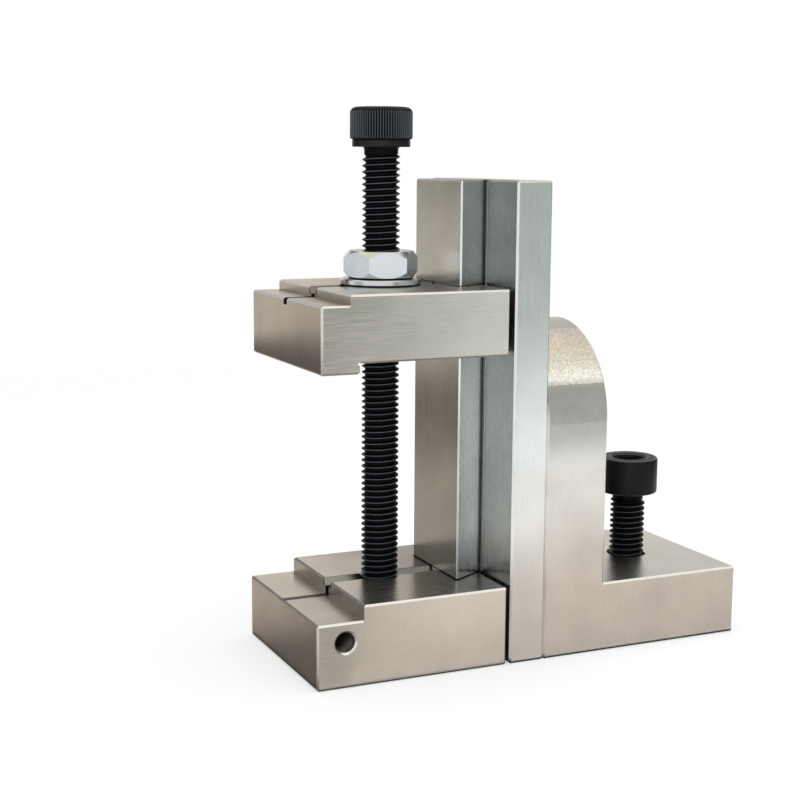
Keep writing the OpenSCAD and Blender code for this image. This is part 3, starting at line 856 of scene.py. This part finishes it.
class VISE_OT_studio(Operator):
    """Camera, lamps, world, floor and studio cards"""
    bl_idname = "vise.studio"
    bl_label = "Studio"

    def execute(self, context):
        studio = context.scene.vise_studio
        self.camera(context.scene, studio)
        self.world(context.scene, studio)
        self.floor(studio)
        self.lamps(studio)
        self.front_cards()
        self.back_cards()
        self.high_cards()
        context.scene.view_settings.view_transform = "Standard"
        return {"FINISHED"}

    def camera(self, scene, studio):
        """A camera in front, to the left and a little above, with its heading, dip and roll."""
        place = (-0.152686, -0.284867, 0.104302)
        turns = ((-24.431, "Z"), (80.853, "X"), (0.369, "Z"))
        lens = bpy.data.cameras.new("camera")
        lens.lens = studio.lens
        lens.sensor_width = 36
        lens.clip_start = 0.01
        camera = bpy.data.objects.new("camera", lens)
        scene.collection.objects.link(camera)
        heading, dip, roll = (Matrix.Rotation(np.radians(degrees), 4, axis) for degrees, axis in turns)
        camera.matrix_world = Matrix.Translation(place) @ heading @ dip @ roll
        scene.camera = camera

    def world(self, scene, studio):
        """White for the camera and for mirrors, plain soft light for the rest."""
        world = bpy.data.worlds.new("studio")
        world.use_nodes = True
        tree = world.node_tree
        tree.nodes.clear()
        strength = add_node(tree, "ShaderNodeMapRange",
                            {"Value": reach_rays(tree), "To Min": studio.ambient, "To Max": 1.0})
        light = add_node(tree, "ShaderNodeBackground", {"Color": (1.0, 1.0, 1.0, 1.0), "Strength": strength})
        add_node(tree, "ShaderNodeOutputWorld", {"Surface": light})
        scene.world = world

    def floor(self, studio):
        """A wide plain floor that keeps a soft shadow near the vise and turns to plain white farther out."""
        half = 3.0
        drop = 0.05 * MM
        shadow_end, white_start = 0.15, 0.5
        mesh = bpy.data.meshes.new("floor")
        mesh.from_pydata([(-half, -half, 0), (half, -half, 0), (half, half, 0), (-half, half, 0)], [],
                         [(0, 1, 2, 3)])
        floor = bpy.data.objects.new("floor", mesh)
        floor.location.z = -drop
        bpy.context.scene.collection.objects.link(floor)
        material, tree = new_material("Pale paper floor")
        paper = add_node(tree, "ShaderNodeBsdfDiffuse", {"Color": list(studio.floor)})
        white = add_node(tree, "ShaderNodeEmission", {"Color": (1.0, 1.0, 1.0, 1.0), "Strength": 1.0})
        place = add_node(tree, "ShaderNodeTexCoord").outputs["Object"]
        away = add_node(tree, "ShaderNodeVectorMath", {0: place}, operation="LENGTH")
        glow = add_node(tree, "ShaderNodeMapRange",
                        {"Value": away, "From Min": shadow_end, "From Max": white_start,
                         "To Min": 0.5, "To Max": 1.0})
        share = add_node(tree, "ShaderNodeMath", {0: reach_rays(tree), 1: glow}, operation="MULTIPLY")
        both = add_node(tree, "ShaderNodeMixShader", {0: share, 1: paper, 2: white})
        add_node(tree, "ShaderNodeOutputMaterial", {"Surface": both})
        mesh.materials.append(material)

    def lamps(self, studio):
        """One large soft lamp overhead."""
        data = bpy.data.lights.new("overhead", "AREA")
        data.shape = "RECTANGLE"
        data.size, data.size_y = 0.9, 0.7
        data.energy = studio.overhead
        lamp = bpy.data.objects.new("overhead", data)
        lamp.location = (0.05, -0.1, 0.75)
        lamp.visible_camera = False
        lamp.visible_glossy = False
        bpy.context.scene.collection.objects.link(lamp)

    def front_cards(self):
        """What the front faces mirror: on the right a table that runs from a warm strip near the vise,
        painted shadow and painted reflection of the vise, over white to grey, with a grey wall behind it, and
        at its left a table that darkens towards a dark stand. A white sheet lies below the camera, and a dark
        one lies under the vise as painted contact shade."""
        table = 0.02 * MM
        near, table_end, stand_end = -0.022, -0.62, -0.55
        # The warm, darker start of this run near the vise is painted shadow and painted reflection of the
        # vise.
        stage_sheet("sheet_front",
                    [(-0.05, near, table), (0.35, near, table), (0.75, table_end, table),
                     (0.12, table_end, table)],
                    ("Y", near, table_end,
                     [(0.0, "#BDB4AB"), (0.07, "#CABFB5"), (0.13, "#D8CEC4"), (0.2, "#FCFAF6"),
                      (0.34, "#FCFEFE"), (0.46, "#F0F4F4"), (0.54, "#E2E8E8"), (0.72, "#D4DAD8"),
                      (0.85, "#CED4D0"), (1.0, "#CCD2CE")]), strength=1.25)
        wall("wall_front", 283, 335, 0.66, 0.36,
             [(0.0, "#C2C8C4"), (0.12, "#BEC4C0"), (0.25, "#CAD0CC"), (1.0, "#B6BAB4")])
        stage_sheet("sheet_stand",
                    [(-0.075, near, 2 * table), (-0.042, near, 2 * table), (0.214, stand_end, 2 * table),
                     (0.08, stand_end, 2 * table)],
                    ("Y", near, stand_end,
                     [(0.0, "#B6AEA5"), (0.5, "#A0A09A"), (0.75, "#72766F"), (1.0, "#5C605A")]))
        wall("wall_stand", 281, 294.5, 0.6, 0.2, "#74786F")
        stage_sheet("sheet_near_camera",
                    [(-0.09, -0.09, table), (-0.03, -0.125, table), (-0.21, -0.47, table),
                     (-0.33, -0.39, table)], "#FFFFFF", strength=1.45)
        # Painted contact shade: a dark sheet under the vise's footprint, seen in the bottom bevels.
        flat_sheet("sheet_contact_shade", -0.0512, 0.0512, -0.0215, 0.0215, table / 2, "#24201C")

    def back_cards(self):
        """What the left faces, the tops and the nut mirror: behind on the left a dim table that ends in a
        low lighter wall under a dark room, pale and dark walls on the left, a dark one on the right, and
        warm grey ones behind on the right. A dark sheet before the upper jaw's nose is painted shade."""
        table = 0.02 * MM
        nose, back, table_end = -0.0508, 0.0208, 0.62
        behind = ("Y", -0.03, table_end,
                  [(0.0, "#5C5751"), (0.06, "#625C56"), (0.09, "#9A9086"), (0.12, "#B4AAA0"),
                   (0.2, "#A0968A"), (0.28, "#AA9E8E"), (0.4, "#6C6256"), (0.6, "#645A50"),
                   (0.7, "#A09688"), (0.78, "#E0D6C8"), (1.0, "#E0D6C8")])
        flat_sheet("sheet_back_left", -0.5, nose, -0.03, table_end, table, behind)
        flat_sheet("sheet_back", nose, 0.03, back, table_end, table, behind)
        # Painted shade: a dark sheet before the upper jaw's nose, seen in reflections.
        flat_sheet("sheet_nose_shade", -0.095, -0.0505, -0.03, 0.06, 0.061, "#4A4642")
        wall("wall_right", -26, 26, 0.5, 0.35, "#50504E")
        wall("wall_back_right", 26, 61, 0.55, 0.9, [(0.0, "#DEDAD4"), (1.0, "#D6D2CC")])
        wall("wall_back_mid", 61, 84, 0.55, 0.9, [(0.0, "#D6CEC4"), (1.0, "#CCC6BE")])
        wall("wall_back_left", 100, 136, 0.66, 0.6,
             [(0.0, "#E0D6C8"), (0.06, "#C6BCAE"), (0.1, "#C8BEB0"), (0.15, "#A09689"), (0.2, "#746C64"),
              (0.35, "#605A54"), (1.0, "#504A46")])
        wall("wall_left_dark", 132, 148.5, 0.48, 0.3, "#141412")
        wall("wall_left", 148.5, 168, 0.48, 0.3, "#F6FAFA")
        wall("wall_far_left", 168, 196, 0.42, 0.2, "#B4B8B6")

    def high_cards(self):
        """What the round top and the bevels mirror: a warm soft box between two grey strips of ceiling."""
        ceiling = 0.95
        left, box_right, right = -0.6, 1.2, 1.8
        box_near, box_far = -1.1, 0.66
        flat_sheet("soft_box", left, box_right, box_near, box_far, ceiling,
                   ("Y", box_near, box_far,
                    [(0.0, "#FFFFFA"), (0.13, "#FFFDF4"), (0.37, "#D3D0C4"), (0.54, "#D6CFC1"),
                     (0.66, "#CCC0AE"), (0.8, "#DCD2C2"), (1.0, "#ECE4D8")]), strength=1.42)
        flat_sheet("ceiling_front", left, right, -2.6, box_near, ceiling, "#A4A49A")
        flat_sheet("ceiling_back", left, right, box_far, 1.9, ceiling, "#8E8C8A")


class VISE_PT_pieces(Panel):
    """Sidebar list of the vise's operators and settings"""
    bl_idname = "VISE_PT_pieces"
    bl_label = "Upright dovetail vise"
    bl_space_type = "VIEW_3D"
    bl_region_type = "UI"
    bl_category = "Vise"

    def draw(self, context):
        for operator in OPERATORS:
            self.layout.operator(operator.bl_idname)
        for group in (getattr(context.scene, name) for name in GROUPS):
            box = self.layout.box()
            for name in group.__annotations__:
                box.prop(group, name)


OPERATORS = (
    VISE_OT_studio,
    VISE_OT_ground_blocks,
    VISE_OT_side_hole_thread,
    VISE_OT_nut_and_washer,
    VISE_OT_clamp_screw,
    VISE_OT_base_screw,
    VISE_OT_inner_fasteners,
)
GROUPS = {
    "vise_screws": ScrewSizes,
    "vise_hole": TappedHole,
    "vise_nut": NutSizes,
    "vise_colours": FinishColours,
    "vise_studio": StudioSettings,
}


def register():
    for group in GROUPS.values():
        bpy.utils.register_class(group)
    for item in (*OPERATORS, VISE_PT_pieces):
        bpy.utils.register_class(item)
    for name, group in GROUPS.items():
        setattr(bpy.types.Scene, name, PointerProperty(type=group))


def unregister():
    for name in GROUPS:
        delattr(bpy.types.Scene, name)
    for item in (VISE_PT_pieces, *reversed(OPERATORS)):
        bpy.utils.unregister_class(item)
    for group in reversed(GROUPS.values()):
        bpy.utils.unregister_class(group)


def main():
    """Makes the studio, every piece and finish."""
    register()
    bpy.ops.vise.studio()
    bpy.ops.vise.ground_blocks()
    bpy.ops.vise.side_hole_thread()
    bpy.ops.vise.nut_and_washer()
    bpy.ops.vise.clamp_screw()
    bpy.ops.vise.base_screw()
    bpy.ops.vise.inner_fasteners()


if __name__ == "__main__":
    main()
